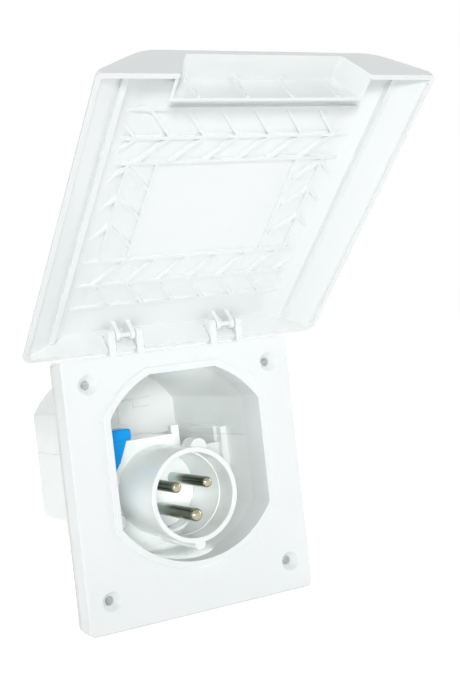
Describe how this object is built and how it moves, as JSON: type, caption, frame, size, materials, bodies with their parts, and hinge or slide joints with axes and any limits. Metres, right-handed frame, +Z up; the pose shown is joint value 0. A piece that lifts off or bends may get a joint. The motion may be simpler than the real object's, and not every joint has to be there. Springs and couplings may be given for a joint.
{
  "type": "cee inlet box",
  "caption": "Flush-mounted caravan power inlet box with a hinged lid, a deep well, a keyed round inlet with contact pins and a sprung release lever.",
  "frame": {"origin": "centre of the flange's back face, on the wall's surface", "axes": "+X right, +Y into the wall, +Z up; the open front faces -Y"},
  "size_m": [0.147, 0.2142, 0.2281],
  "materials": {
    "white_plastic": "satin moulded white",
    "housing_plastic": "moulded off-white",
    "inlet_plastic": "satin moulded white",
    "nickel": "nickel-plated brass",
    "steel": "zinc-plated steel",
    "blue_plastic": "bright blue",
    "seal_rubber": "soft white seal",
    "grey_plastic": "light grey"
  },
  "bodies": {
    "box": {"carrier_screw_1": "steel", "carrier_screw_2": "steel", "contact_carrier": "inlet_plastic", "earth_pin": "nickel", "earth_terminal_screw": "steel", "front_frame": "white_plastic", "gland_body": "grey_plastic", "gland_locknut": "grey_plastic", "gland_nut": "grey_plastic", "gland_seal": "seal_rubber", "housing_lower": "housing_plastic", "housing_screw_1": "steel", "housing_screw_2": "steel", "housing_screw_3": "steel", "housing_screw_4": "steel", "housing_upper": "housing_plastic", "inlet_shroud": "inlet_plastic", "lever_pin": "steel", "lever_spring": "steel", "line_pin": "nickel", "line_terminal_screw": "steel", "neutral_pin": "nickel", "neutral_terminal_screw": "steel", "terminal_cover": "housing_plastic", "wall_seal": "seal_rubber"},
    "lid": {"lid": "white_plastic"},
    "lever": {"release_lever": "blue_plastic"}
  },
  "joints": [
    {"name": "lid_hinge", "type": "hinge", "parent": "box", "child": "lid", "pos_m": [0, -0.0125, 0.0684], "axis": [1, 0, 0], "range_deg": [0, 131]},
    {"name": "release_lever", "type": "hinge", "parent": "box", "child": "lever", "pos_m": [-0.02744, 0.018, -0.01709], "axis": [0, -1, 0], "range_deg": [0, 7], "stiffness_Nm_per_rad": 0.15, "springref_deg": -8.59}
  ]
}
